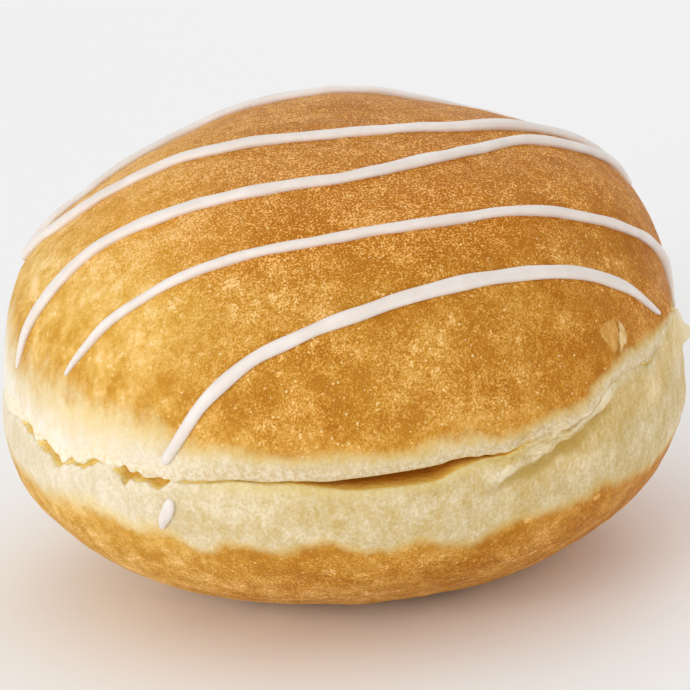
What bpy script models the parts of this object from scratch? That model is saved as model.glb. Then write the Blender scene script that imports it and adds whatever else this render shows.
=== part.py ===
"""A jelly filled doughnut: one closed yeast bun, split along its pale waist, with icing strands fused on top.

Metres, +Z up. The bun rests on a small flat spot at z = 0, and its box is centred over the origin.
Azimuths are in degrees, counter-clockwise from +X as seen from above: 270 is the front.
Heights on the skin are in millimetres above the widest plane, and elevations run from -90 to 90 degrees.
"""

import bpy
import bmesh
import numpy as np

# Driving sizes, in millimetres
HALF_WIDTH = 44.4
DOME_HEIGHT = 34.8
BOWL_DEPTH = 25.5
REST_DEPTH = 23.5
STRAND_HEIGHT = 0.95

# The dome is a little squarer than an ellipse, and each half leans to one side as it rises or falls
DOME_POWER = 2.4
BOWL_POWER = 2.05
DOME_LEAN = 0.045
BOWL_LEAN = -0.07

# Soft swellings and hollows of the whole form: azimuth, elevation, height in millimetres
SWELLINGS = [
    (-6, 12, -1.5), (45, 62, -0.9), (100, 68, 0.9), (150, 58, -0.75), (165, 42, -0.4), (178, 25, 0.8),
    (184, 8, -1.2), (214, -38, 0.15), (262, -55, -0.55), (315, -46, -0.35), (340, -20, -0.55),
    (4, 22, 0.3), (16, 45, 0.35),
]
SWELLING_SPREAD = 0.24

# The crease between the halves: azimuth, height on the skin, opening and depth in millimetres.
# It is torn open in short holes on the left and in one long slit at the front.
CREASE = [
    (2, 5.6, 0.5, 1.2), (10, 4.4, 0.4, 1.2), (30, 4.1, 0.5, 1.4), (52, 3.1, 0.8, 2.0),
    (76, 2.2, 0.4, 1.3), (100, 3.3, 0.5, 1.2), (126, 4.2, 0.9, 1.8), (150, 3.0, 0.4, 1.2),
    (172, 2.5, 0.4, 1.0), (186, 2.9, 0.4, 1.0), (195, 3.3, 0.4, 0.9), (201, 4.1, 0.5, 1.2),
    (206, 3.7, 1.4, 2.0), (209, 3.0, 0.4, 1.2), (213.5, 2.5, 1.5, 2.0), (217, 2.1, 0.4, 0.9),
    (221, 2.1, 0.8, 1.2), (225, 2.5, 0.9, 1.4), (229, 3.2, 0.4, 1.2), (231.5, 2.2, 1.7, 2.4),
    (235, 1.9, 0.7, 1.8), (239, 2.0, 1.3, 2.4), (241.5, 2.4, 0.3, 0.6), (244, 2.1, 0.9, 1.5),
    (247, 2.2, 0.4, 1.3), (251, 2.6, 0.35, 1.5), (257, 2.3, 0.4, 1.8), (262, 2.3, 0.5, 2.2),
    (266, 1.8, 0.7, 3.0), (270, 1.6, 1.3, 4.6), (275, 1.6, 1.5, 5.6), (280, 1.6, 1.7, 5.8),
    (284, 1.8, 1.7, 5.4), (287, 2.4, 1.1, 3.8), (291, 2.5, 0.5, 2.2),
    (296, 2.5, 0.35, 1.2), (300, 3.3, 0.3, 0.9), (307, 3.6, 0.3, 0.7), (310, 4.3, 0.3, 0.7),
    (313, 5.2, 0.3, 0.7), (316, 6.6, 0.35, 0.8), (322, 7.1, 0.35, 0.8), (326, 7.0, 0.4, 0.9),
    (329, 6.35, 0.4, 1.0), (332, 6.7, 0.4, 1.0), (335, 7.9, 0.35, 0.8), (340, 8.8, 0.3, 0.8),
    (347, 8.6, 0.3, 0.9), (354, 7.2, 0.4, 1.0),
]
THINNEST_OPENING = 0.3
UPPER_LIP = (2.4, 1.0)
LOWER_LIP = (1.7, 0.7)
LIP_SHARE_OF_DEPTH = 0.6

# How far the lower half stands out past the upper one at the crease, by azimuth
STEP_OUT = [(0, 0.7), (60, 0.4), (180, 0.35), (250, 0.25), (290, 0.3), (330, 0.6)]
STEP_REACH = 5.0
STEP_BLUR = 0.6

# Folds beside the crease: (azimuth, height) along the fold, depth of its groove, the groove's reach
# below and above, and the height of the raised strip over it, all in millimetres
FOLDS = [
    ([(290, -2.2), (293, -1.5), (296.5, -0.4), (300, 0.1), (304, 1.3), (308, 2.1), (312, 2.3), (316, 2.0)],
     0.8, 1.3, 0.5, 0.5),
    ([(288, 2.2), (294, 1.9), (301, 1.0)], 0.45, 0.5, 0.5, 0.15),
    ([(309, 4.2), (317, 6.7), (328, 6.6), (338, 8.6), (348, 8.6)], 0.0, 1.0, 1.0, 0.4),
    ([(20, -1.0), (38, -2.2), (58, -1.2)], 0.6, 1.4, 0.6, 0.35),
    ([(112, 0.6), (132, -0.9), (150, -1.1)], 0.6, 1.3, 0.6, 0.35),
]
FOLD_FADE = 5.0
STRIP_OFFSET = 1.5
STRIP_REACH = 1.1

# Lumps: azimuth, height on the skin, half-spreads in degrees and millimetres, and their own height.
# The first is the torn flap at the right, the second the bridge across the torn crease.
LUMPS = [
    (357.5, 3.3, 3.0, 0.9, 1.6), (241, 1.6, 1.8, 1.6, 0.5), (202, -0.6, 6.0, 1.8, 0.3),
    (224, 0.2, 4.0, 1.0, 0.3), (317, -0.8, 1.6, 2.4, 0.3),
]

# Routes of the strands, as azimuth and elevation on the skin, each with its width in millimetres.
# The second to the fifth are one zigzag from back to front, whose turns meet in pairs at the sides,
# and the others lie apart.
STRANDS = [
    ([(126, 21), (110, 25), (94, 27), (78, 26), (64, 25), (52, 24)], 1.7),
    ([(147, 33), (131, 40), (113, 45), (92, 48), (71, 46), (50, 40), (37, 36), (29, 32)], 1.7),
    ([(29, 32), (35, 40), (46, 49), (58, 59.5), (72, 66), (94, 69), (122, 66.5), (140, 60.5), (154, 54),
      (163, 46.5), (169.5, 39.5), (171.5, 34), (172.5, 28)], 2.3),
    ([(172.5, 28), (175, 31), (180, 37), (185, 45), (190, 59), (198, 71), (222, 80), (279, 83),
      (329, 78), (349, 70), (5, 60), (12, 49), (17, 39), (18, 29)], 2.1),
    ([(18, 29), (13, 37), (6, 45), (358, 53), (345, 62), (318, 67), (291, 68), (263, 66), (240, 62),
      (223, 55.3), (211, 44.5), (203.6, 29), (199, 13)], 1.8),
    ([(216.8, 16.5), (224.5, 29), (235, 39.4), (249, 46.6), (266, 50), (284, 51), (301, 50), (318, 46),
      (332, 38), (344, 29), (352, 20), (356, 13), (358, 8)], 1.3),
    ([(239.8, 4.3), (246, 15), (254, 23.8), (262, 28.7), (272, 32.4), (284, 35.2), (295, 35.5), (307, 34),
      (317, 30.6), (327, 23.5), (336.6, 14.2)], 1.75),
]
DRIP = ([(240.9, 0), (239, -5), (237.5, -10)], 1.45)
STRAND_SEGMENT = 2.7
STRAND_ROOT = 0.55
STRAND_FACES = 4
STRAND_END = 2.7
STRAND_TIP_SHARE = 0.45

# How the skin is divided: close columns at the front, and close rows beside the crease
FRONT_START, FRONT_END = 184, 366
FRONT_COLUMNS = 68
BACK_COLUMNS = 28
DOME_ROWS = 17
DOME_ROW_GROWTH = 1.2
BOWL_ROWS = 13
BOWL_ROW_GROWTH = 1.4
COARSE_DOME_ROWS = 10
COARSE_BOWL_ROWS = 6
LIP_ANGLES = (30, 60, 90)
WALL_NECK = (0.7, 0.5)
MERIDIAN_SAMPLES = 721
ROUTE_SAMPLES = 24
NUDGE = 0.05

MILLIMETRE = 0.001
DOUGH_COLOUR = (0.56, 0.31, 0.09, 1.0)
DOUGH_ROUGHNESS = 0.6


def direction(azimuth, elevation):
    """Unit vectors out of the centre."""
    turn, rise = np.radians(azimuth), np.radians(elevation)
    return np.stack([np.cos(rise) * np.cos(turn), np.cos(rise) * np.sin(turn), np.sin(rise)], -1)


def skin(azimuth, elevation):
    """Points of the plain bun, without crease or folds, in millimetres from the centre."""
    azimuth, elevation = np.broadcast_arrays(np.float64(azimuth), np.float64(elevation))
    turn, rise = np.radians(azimuth), np.radians(elevation)
    above = rise >= 0
    power = 2 / np.where(above, DOME_POWER, BOWL_POWER)
    radius = HALF_WIDTH * np.abs(np.cos(rise)) ** power
    height = np.sign(rise) * np.where(above, DOME_HEIGHT, BOWL_DEPTH) * np.abs(np.sin(rise)) ** power
    lean = np.where(above, DOME_LEAN, BOWL_LEAN) * height
    plain = np.stack([radius * np.cos(turn) + lean, radius * np.sin(turn), height], -1)
    outward = direction(azimuth, elevation)
    swell = np.zeros(azimuth.shape)
    for centre_azimuth, centre_elevation, swelling in SWELLINGS:
        nearness = outward @ direction(centre_azimuth, centre_elevation)
        swell += swelling * np.exp((nearness - 1) / SWELLING_SPREAD ** 2)
    return plain + swell[..., None] * outward


def round_the_bun(stations, azimuth):
    """Values at any azimuth, on a smooth closed curve through stations of (azimuth, value, ...)."""
    table = np.array(stations, float)
    knots = np.concatenate([table[-2:, 0] - 360, table[:, 0], table[:2, 0] + 360])
    values = np.concatenate([table[-2:, 1:], table[:, 1:], table[:2, 1:]])
    slopes = np.gradient(values, knots, axis=0)
    azimuth = np.mod(np.asarray(azimuth, float) - table[0, 0], 360) + table[0, 0]
    left = np.clip(np.searchsorted(knots, azimuth, side="right") - 1, 0, len(knots) - 2)
    gap = knots[left + 1] - knots[left]
    part = ((azimuth - knots[left]) / gap)[..., None]
    gap = gap[..., None]
    return (
        (1 + 2 * part) * (1 - part) ** 2 * values[left]
        + part * (1 - part) ** 2 * gap * slopes[left]
        + part ** 2 * (3 - 2 * part) * values[left + 1]
        + part ** 2 * (part - 1) * gap * slopes[left + 1]
    )


def degrees_between(azimuth, centre):
    return np.mod(azimuth - centre + 180, 360) - 180


def relief(azimuth, height):
    """How far the skin stands out near the crease, in millimetres."""
    above = height - round_the_bun(CREASE, azimuth)[..., 0]
    step = round_the_bun(STEP_OUT, azimuth)[..., 0]
    out = -step * np.tanh(above / STEP_BLUR) * np.exp(-np.abs(above) / STEP_REACH)
    for route, depth, reach_below, reach_above, strip in FOLDS:
        first, last = route[0][0], route[-1][0]
        along = first + np.mod(azimuth - first, 360)
        ends = np.clip((along - first) / FOLD_FADE, 0, 1) * np.clip((last - along) / FOLD_FADE, 0, 1)
        off = height - np.interp(along, [p[0] for p in route], [p[1] for p in route])
        reach = np.where(off < 0, reach_below, reach_above)
        out += ends * strip * np.exp(-((off - STRIP_OFFSET) / STRIP_REACH) ** 2)
        out -= ends * depth * np.exp(-(off / reach) ** 2)
    for centre, level, spread, reach, lump in LUMPS:
        off_side = degrees_between(azimuth, centre) / spread
        out += lump * np.exp(-off_side ** 2 - ((height - level) / reach) ** 2)
    return out


def surface(azimuth, elevation):
    """Points of the bun with its folds, without the crease."""
    plain = skin(azimuth, elevation)
    out = relief(np.broadcast_to(azimuth, plain.shape[:-1]), plain[..., 2])
    return plain + out[..., None] * direction(azimuth, elevation)


def surface_normal(azimuth, elevation):
    here = surface(azimuth, elevation)
    east = surface(azimuth + NUDGE, elevation) - here
    north = surface(azimuth, elevation + NUDGE) - here
    normal = np.cross(east, north)
    return normal / np.linalg.norm(normal, axis=-1, keepdims=True)


def growing_steps(count, growth):
    """Shares from 0 to 1 whose steps grow along the way."""
    return np.expm1(growth * np.arange(count + 1) / count) / np.expm1(growth)


def crease_profile(opening, depth):
    """The crease across: distances along the skin from its middle, and how far out, bottom to top."""
    half = opening / 2
    along, out = [], []
    for side, (length, drop) in ((-1, LOWER_LIP), (1, UPPER_LIP)):
        drop = min(drop, LIP_SHARE_OF_DEPTH * depth)
        neck_share, depth_share = WALL_NECK
        wall = [(neck_share * half, -drop - (depth - drop) * depth_share), (half, -drop)]
        lip = [(half + length * (1 - np.cos(a)), -drop * (1 - np.sin(a))) for a in np.radians(LIP_ANGLES)]
        rows = [(side * a, o) for a, o in wall + lip]
        rows = rows[::-1] + [(0, -depth)] if side < 0 else rows
        along += [a for a, o in rows]
        out += [o for a, o in rows]
    return np.array(along), np.array(out)


def meridian(azimuth):
    """One column of points of the bun, from the edge of the flat spot up to the pole."""
    elevations = np.linspace(-90, 90, MERIDIAN_SAMPLES)
    plain = skin(azimuth, elevations)
    lengths = np.concatenate([[0], np.cumsum(np.linalg.norm(np.diff(plain, axis=0), axis=1))])
    level, opening, depth = round_the_bun(CREASE, azimuth)
    opening = max(opening, THINNEST_OPENING)
    middle = np.interp(level, plain[:, 2], lengths)
    rest = np.interp(-REST_DEPTH, plain[:, 2], lengths)
    along, out = crease_profile(opening, depth)
    bowl = rest + (middle + along[0] - rest) * (1 - growing_steps(BOWL_ROWS, BOWL_ROW_GROWTH)[:0:-1])
    dome = middle + along[-1] + (lengths[-1] - middle - along[-1]) * growing_steps(
        DOME_ROWS, DOME_ROW_GROWTH)[1:]
    places = np.concatenate([bowl, middle + along, dome])
    outs = np.concatenate([np.zeros(len(bowl)), out, np.zeros(len(dome))])
    points = surface(azimuth, np.interp(places, lengths, elevations))
    points += outs[:, None] * direction(azimuth, 0)
    points[0, 2] = -REST_DEPTH
    return points


def column_azimuths():
    front = np.linspace(FRONT_START, FRONT_END, FRONT_COLUMNS, endpoint=False)
    back = np.linspace(FRONT_END, FRONT_START + 360, BACK_COLUMNS, endpoint=False)
    return np.concatenate([front, back])


def build_bun():
    """The bun as one closed mesh, with every second column left out near the pole and the foot."""
    columns = np.array([meridian(azimuth) for azimuth in column_azimuths()])
    count, rows = columns.shape[:2]
    full_rows = range(COARSE_BOWL_ROWS, rows - 1 - COARSE_DOME_ROWS)
    mesh = bmesh.new()
    grid = [[mesh.verts.new(point) if row in full_rows or column % 2 == 0 else None
             for row, point in enumerate(points[:-1])] for column, points in enumerate(columns)]
    pole = mesh.verts.new(columns[0, -1])
    foot = mesh.verts.new((columns[:, 0].mean(0)[0], columns[:, 0].mean(0)[1], -REST_DEPTH))
    for here in range(0, count, 2):
        pair = (here, here + 1, (here + 2) % count)
        for row in range(rows - 2):
            if row in full_rows and row + 1 in full_rows:
                for left, right in zip(pair, pair[1:]):
                    mesh.faces.new((grid[left][row], grid[right][row],
                                    grid[right][row + 1], grid[left][row + 1]))
            else:
                low = [grid[column][row] for column in pair if grid[column][row]]
                high = [grid[column][row + 1] for column in pair if grid[column][row + 1]]
                mesh.faces.new(low + high[::-1])
        mesh.faces.new((grid[pair[0]][-1], grid[pair[2]][-1], pole))
        mesh.faces.new((grid[pair[2]][0], grid[pair[0]][0], foot))
    return mesh_object("bun", mesh)


def mesh_object(name, mesh):
    data = bpy.data.meshes.new(name)
    bmesh.ops.triangulate(mesh, faces=mesh.faces[:])
    mesh.to_mesh(data)
    mesh.free()
    made = bpy.data.objects.new(name, data)
    bpy.context.scene.collection.objects.link(made)
    return made


def smooth_route(stations, segment):
    """Azimuths and elevations spaced evenly along a smooth curve through the stations."""
    knots = np.array([direction(azimuth, elevation) for azimuth, elevation in stations])
    knots = np.concatenate([2 * knots[:1] - knots[1:2], knots, 2 * knots[-1:] - knots[-2:-1]])
    part = np.linspace(0, 1, ROUTE_SAMPLES, endpoint=False)[:, None]
    pieces = []
    for a, b, c, d in zip(knots, knots[1:], knots[2:], knots[3:]):
        pieces.append(
            b + part / 2 * (c - a) + part ** 2 / 2 * (2 * a - 5 * b + 4 * c - d)
            + part ** 3 / 2 * (3 * b - a - 3 * c + d))
    curve = np.concatenate(pieces + [knots[-2:-1]])
    azimuth = np.degrees(np.arctan2(curve[:, 1], curve[:, 0]))
    elevation = np.degrees(np.arctan2(curve[:, 2], np.hypot(curve[:, 0], curve[:, 1])))
    lengths = np.linalg.norm(np.diff(surface(azimuth, elevation), axis=0), axis=1)
    places = np.concatenate([[0], np.cumsum(lengths)])
    wanted = np.linspace(0, places[-1], max(3, round(places[-1] / segment) + 1))
    even = np.stack([np.interp(wanted, places, curve[:, axis]) for axis in range(3)], -1)
    azimuth = np.degrees(np.arctan2(even[:, 1], even[:, 0]))
    elevation = np.degrees(np.arctan2(even[:, 2], np.hypot(even[:, 0], even[:, 1])))
    return azimuth, elevation, wanted


def build_strand(name, stations, width):
    """A half-round bead of icing along a route, rooted in the skin, with its ends drawn in."""
    azimuth, elevation, places = smooth_route(stations, STRAND_SEGMENT)
    path = surface(azimuth, elevation)
    normal = surface_normal(azimuth, elevation)
    tangent = np.gradient(path, axis=0)
    side = np.cross(tangent, normal)
    side /= np.linalg.norm(side, axis=1, keepdims=True)
    to_end = np.minimum(places, places[-1] - places)
    share = STRAND_TIP_SHARE + (1 - STRAND_TIP_SHARE) * np.sqrt(np.clip(to_end / STRAND_END, 0, 1))
    outline = [(np.cos(a), np.sin(a)) for a in np.linspace(0, np.pi, STRAND_FACES + 1)]
    mesh = bmesh.new()
    rings = []
    for point, up, across, size in zip(path, normal, side, share):
        half, tall = size * width / 2, size * STRAND_HEIGHT
        ring = [point + half * c * across + tall * s * up for c, s in outline]
        ring += [point + half * c * across - STRAND_ROOT * up for c in (-1, 1)]
        rings.append([mesh.verts.new(p) for p in ring])
    for first, second in zip(rings, rings[1:]):
        for corner in range(len(first)):
            after = (corner + 1) % len(first)
            mesh.faces.new((first[corner], first[after], second[after], second[corner]))
    mesh.faces.new(rings[0][::-1])
    mesh.faces.new(rings[-1])
    bmesh.ops.recalc_face_normals(mesh, faces=mesh.faces[:])
    return mesh_object(name, mesh)


def fuse(body, extras):
    """Joins the extras to the body with one Boolean union and removes them."""
    group = bpy.data.collections.new("icing")
    bpy.context.scene.collection.children.link(group)
    for extra in extras:
        bpy.context.scene.collection.objects.unlink(extra)
        group.objects.link(extra)
    union = body.modifiers.new("fuse", "BOOLEAN")
    union.operation = "UNION"
    union.operand_type = "COLLECTION"
    union.collection = group
    union.solver = "MANIFOLD"
    fused = bpy.data.meshes.new_from_object(body.evaluated_get(bpy.context.evaluated_depsgraph_get()))
    body.modifiers.clear()
    body.data = fused
    for extra in extras:
        bpy.data.objects.remove(extra, do_unlink=True)
    bpy.data.collections.remove(group)


def stand_on_origin(part):
    """Turns millimetres into metres, with the flat spot at z = 0 and the box centred over the origin."""
    points = np.array([vertex.co for vertex in part.data.vertices], float)
    middle = (points.min(0) + points.max(0)) / 2
    moved = (points - (middle[0], middle[1], -REST_DEPTH)) * MILLIMETRE
    part.data.vertices.foreach_set("co", moved.astype(np.float32).ravel())
    part.data.update()


def dough_material():
    material = bpy.data.materials.new("browned_dough")
    material.use_nodes = True
    shader = material.node_tree.nodes["Principled BSDF"]
    shader.inputs["Base Color"].default_value = DOUGH_COLOUR
    shader.inputs["Roughness"].default_value = DOUGH_ROUGHNESS
    shader.inputs["Metallic"].default_value = 0.0
    return material


def main():
    for leftover in list(bpy.data.objects):
        bpy.data.objects.remove(leftover, do_unlink=True)
    bun = build_bun()
    icing = [build_strand("strand", route, width) for route, width in STRANDS]
    icing.append(build_strand("drip", *DRIP))
    fuse(bun, icing)
    stand_on_origin(bun)
    bun.name = "doughnut"
    bun.data.materials.append(dough_material())
    bun.data.shade_smooth()


main()
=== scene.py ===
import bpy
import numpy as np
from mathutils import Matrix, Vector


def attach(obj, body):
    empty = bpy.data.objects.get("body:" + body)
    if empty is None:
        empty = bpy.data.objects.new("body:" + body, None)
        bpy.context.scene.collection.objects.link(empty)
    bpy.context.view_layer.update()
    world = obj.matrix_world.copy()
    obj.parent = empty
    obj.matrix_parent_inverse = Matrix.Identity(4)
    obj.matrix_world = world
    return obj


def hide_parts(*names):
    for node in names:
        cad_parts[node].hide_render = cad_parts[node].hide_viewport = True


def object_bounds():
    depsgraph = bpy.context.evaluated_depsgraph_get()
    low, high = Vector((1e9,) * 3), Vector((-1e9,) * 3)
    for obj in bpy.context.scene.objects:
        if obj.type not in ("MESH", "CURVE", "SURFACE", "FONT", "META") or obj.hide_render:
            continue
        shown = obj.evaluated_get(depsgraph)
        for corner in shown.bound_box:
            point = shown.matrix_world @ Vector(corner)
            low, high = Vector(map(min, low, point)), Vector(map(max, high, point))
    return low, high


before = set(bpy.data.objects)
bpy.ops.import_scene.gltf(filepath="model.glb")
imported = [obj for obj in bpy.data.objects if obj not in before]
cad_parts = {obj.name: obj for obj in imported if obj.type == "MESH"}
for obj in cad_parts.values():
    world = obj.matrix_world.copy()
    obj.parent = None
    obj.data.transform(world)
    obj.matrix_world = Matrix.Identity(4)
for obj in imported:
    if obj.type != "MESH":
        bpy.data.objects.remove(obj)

# The looks of a jelly filled doughnut: a fine dough mesh with its crust, waist, crease and folds,
# and seven strands and a drip of icing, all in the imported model's place.
# Azimuths are in degrees, counter-clockwise from +X as seen from above: 270 is the front.
# Shapes are worked out in millimetres from the middle of the bun's widest plane, then moved.

CAD_LOW, CAD_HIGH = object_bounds()
MILLIMETRE = 0.001

# Driving sizes, in millimetres
HALF_WIDTH = 44.4
DOME_HEIGHT = 34.8
BOWL_DEPTH = 25.5
REST_DEPTH = 23.5
STRAND_HEIGHT = 0.95
DOME_POWER = 2.4
BOWL_POWER = 2.05
DOME_LEAN = 0.045
BOWL_LEAN = -0.07

# Soft swellings and hollows of the whole form: azimuth, elevation, height in millimetres
SWELLINGS = [
    (-6, 12, -1.5), (45, 62, -0.9), (100, 68, 0.9), (150, 58, -0.75), (165, 42, -0.4), (178, 25, 0.8),
    (184, 8, -1.2), (214, -38, 0.15), (262, -55, -0.55), (315, -46, -0.35), (340, -20, -0.55),
    (4, 22, 0.3), (16, 45, 0.35),
]
SWELLING_SPREAD = 0.24

# The crease between the halves: azimuth, height on the skin, opening and depth in millimetres.
# It is torn open in short holes on the left and in one long slit at the front.
CREASE = [
    (2, 5.6, 0.5, 1.2), (10, 4.4, 0.4, 1.2), (30, 4.1, 0.5, 1.4), (52, 3.1, 0.8, 2.0),
    (76, 2.2, 0.4, 1.3), (100, 3.3, 0.5, 1.2), (126, 4.2, 0.9, 1.8), (150, 3.0, 0.4, 1.2),
    (172, 2.9, 0.3, 0.5), (186, 3.3, 0.2, 0.25), (195, 3.6, 0.2, 0.2), (202.5, 4.3, 0.2, 0.3),
    (205, 4.1, 0.8, 1.4), (207.5, 3.6, 1.0, 1.6), (209.3, 3.1, 0.25, 0.3), (211, 2.8, 1.1, 1.6),
    (213.5, 2.4, 1.3, 2.0), (216, 1.6, 1.2, 1.6), (217.7, 1.4, 0.25, 0.4), (219.5, 1.9, 0.7, 1.2),
    (222, 2.1, 0.4, 0.9), (224.5, 2.6, 0.8, 1.2), (227, 3.1, 0.2, 0.5), (229.3, 2.8, 0.2, 0.3),
    (231.5, 2.1, 1.8, 2.4), (234.5, 1.9, 0.8, 1.6), (237.5, 1.8, 1.0, 2.0), (239.6, 1.9, 1.2, 2.2),
    (241, 2.2, 0.2, 0.3), (243, 2.1, 0.3, 0.8),
    (247, 2.2, 0.25, 0.9), (251, 2.5, 0.2, 0.9), (257, 2.2, 0.25, 1.3), (262, 2.2, 0.4, 1.8),
    (266, 1.8, 0.7, 3.0), (270, 1.6, 1.3, 4.6), (275, 1.6, 1.5, 5.6), (280, 1.6, 1.7, 5.8),
    (284, 1.8, 1.7, 5.4), (287, 2.4, 1.1, 3.8), (291, 2.5, 0.5, 2.2),
    (296, 2.5, 0.3, 0.7), (300, 3.3, 0.2, 0.3), (307, 3.6, 0.15, 0.15), (310, 4.3, 0.15, 0.15),
    (313, 5.2, 0.2, 0.2), (316, 6.6, 0.2, 0.3), (322, 7.1, 0.2, 0.2), (326, 7.0, 0.3, 0.4),
    (329, 6.35, 0.35, 0.6), (332, 6.7, 0.35, 0.6), (335, 7.9, 0.2, 0.3), (340, 8.8, 0.2, 0.3),
    (347, 8.6, 0.3, 0.8), (354, 7.2, 0.4, 1.0),
]
THINNEST_OPENING = 0.12
SHALLOWEST_DEPTH = 0.12
UPPER_LIP = (1.1, 0.5)
LOWER_LIP = (0.7, 0.28)
LIP_SHARE_OF_DEPTH = 0.6

# How far the lower half stands out past the upper one at the crease, by azimuth
STEP_OUT = [
    (0, 0.5), (60, 0.4), (170, 0.3), (190, 0.1), (245, 0.1), (262, 0.2), (290, 0.2), (302, -0.1),
    (325, -0.2), (342, 0.0),
]
STEP_REACH = 5.0
STEP_BLUR = 0.6

# Folds beside the crease: (azimuth, height) along the fold, depth of its groove, the groove's reach
# below and above, and the height of the raised strip over it, all in millimetres
FOLDS = [
    ([(290, -2.2), (293, -1.5), (296.5, -0.4), (300, 0.1), (304, 1.3), (308, 2.1), (312, 2.9),
      (316, 4.2), (320, 5.2)], 0.8, 1.1, 0.25, 0.6),
    ([(287, 2.4), (294, 1.9), (301, 1.2)], 0.5, 0.5, 0.3, 0.15),
    ([(293, 2.8), (299, 4.0), (306, 4.6)], 0.35, 0.35, 0.3, 0.1),
    ([(298, 1.9), (304, 2.9), (311, 4.2)], 0.4, 0.4, 0.3, 0.15),
    ([(296, -1.2), (301, -0.3), (306, 1.1), (310, 1.6), (315, 1.8)], 0.5, 1.1, 0.3, 0.0),
    ([(309, 4.2), (317, 6.7), (328, 6.6), (338, 8.6), (348, 8.6)], 0.0, 1.0, 1.0, 0.4),
    ([(20, -1.0), (38, -2.2), (58, -1.2)], 0.6, 1.4, 0.4, 0.35),
    ([(112, 0.6), (132, -0.9), (150, -1.1)], 0.6, 1.3, 0.4, 0.35),
]
FOLD_FADE = 5.0
STRIP_OFFSET = 1.5
STRIP_REACH = 1.1

# Lumps: azimuth, height on the skin, half-spreads in degrees and millimetres, and their own height
LUMPS = [
    (357.5, 3.3, 3.0, 0.9, 1.6), (241, 1.6, 1.8, 1.6, 0.5), (202, -0.6, 6.0, 1.8, 0.3),
    (224, 0.2, 4.0, 1.0, 0.3), (317, -0.8, 1.6, 2.4, 0.3),
]

# Where the browning of dome and base ends: azimuth, height on the skin, and half the width of the
# passage from brown to pale, in millimetres
DOME_BROWN_ENDS = [
    (20, 9.4, 1.4), (60, 8.0, 1.4), (100, 9.6, 1.6), (140, 11.2, 1.8), (172, 13.5, 2.6),
    (187, 14.5, 2.8), (194, 12.8, 2.8), (201, 11.2, 2.6), (207, 10.9, 2.6), (215, 11.4, 2.6),
    (220, 10.5, 2.4), (228, 9.7, 2.2), (236, 9.4, 1.8), (240, 8.7, 1.5), (243, 7.3, 1.2),
    (250, 6.8, 1.0), (259, 5.8, 0.9), (268, 5.6, 0.9), (277, 5.0, 0.9), (286, 5.7, 0.9),
    (290, 5.6, 0.9), (294, 4.8, 0.9), (298, 5.3, 0.9), (303, 6.0, 0.9), (308, 5.9, 0.9),
    (312, 7.1, 0.8), (319, 9.3, 0.7), (326, 9.5, 0.7), (338, 9.7, 0.6), (344, 9.1, 0.6), (352, 8.4, 0.7),
]
BASE_BROWN_ENDS = [
    (20, -6.6, 1.0), (60, -7.4, 1.0), (100, -6.0, 1.0), (140, -6.8, 1.0), (175, -4.0, 1.2),
    (198, -2.6, 1.2), (208, -4.1, 1.0), (220, -3.9, 1.0), (228, -4.4, 1.0), (232, -5.6, 0.9),
    (239, -5.5, 0.9), (241.5, -6.9, 0.8), (251, -6.1, 0.8), (254, -6.9, 0.8), (261, -6.9, 0.8),
    (265, -6.0, 0.8), (268, -7.0, 0.8), (276, -7.8, 0.8), (279, -7.1, 0.8), (284, -8.2, 0.8),
    (289, -8.8, 0.8), (292, -7.7, 0.8), (302, -6.9, 0.8), (306, -7.1, 0.8), (316, -6.2, 0.8),
    (321, -7.1, 0.8), (332, -7.7, 0.8), (345, -6.8, 0.8),
]

# How ragged the edges of the crease are, by azimuth
RAGGEDNESS = [
    (30, 0.6), (120, 0.6), (185, 0.5), (204, 1.0), (240, 1.0), (246, 0.3), (262, 0.15), (286, 0.15),
    (298, 0.9), (345, 0.9),
]

# Uneven lines round the bun: how strong, the seed, and the fewest and most waves in a turn. The crease's
# level and the folds' edges take theirs in millimetres, and the crease's opening as a share of itself.
RAGGED_LEVEL = [(0.12, 3, 20, 70), (0.05, 6, 110, 200)]
RAGGED_OPENING = [(0.25, 4, 60, 170)]
RAGGED_FOLDS = [(0.12, 5, 40, 160)]
WAVES_IN_A_LINE = 24

# Fine unevenness of crust, waist and wrinkles in millimetres: how strong, the size of its features, the
# seed and, where it isn't even, how it is squeezed along each axis
CRUST_WAVES = [(0.10, 8, 11), (0.05, 3, 12), (0.028, 1.3, 13)]
WAIST_WAVES = [(0.10, 6, 14), (0.06, 2.2, 15, (1, 1, 0.45)), (0.05, 1.2, 16, (1, 1, 0.4))]
WRINKLE_WAVES = [(0.13, 1.1, 17, (0.3, 0.3, 1)), (0.09, 0.8, 18)]
WAVES_IN_A_FIELD = 28

# The finely wrinkled rope of dough: its azimuth and its height over the crease, with its half-spreads
ROPE_AZIMUTH, ROPE_SPREAD = 306, 12
ROPE_HEIGHT, ROPE_REACH = -0.9, 1.5

# A flake lifted from the crust: azimuth, elevation, and its outline to the left and to the right of a
# crack, as corners across and up from its middle in millimetres
FLAKE_AT = (320.3, 15.1)
FLAKE_LEFT = [
    (0.6, 2.0), (-0.2, 2.6), (-1.5, 2.7), (-2.9, 2.1), (-2.6, 0.9), (-1.4, -1.5), (-0.7, -1.1), (0.5, 1.0),
]
FLAKE_RIGHT = [(1.2, 2.0), (1.8, 1.35), (2.1, 0.1), (1.4, -0.9), (-0.2, -1.4), (0.5, 0.6)]
FLAKE_CRACK = [(0.4, 2.2), (1.3, 2.1), (-0.3, -1.7), (-1.2, -2.0)]

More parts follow.
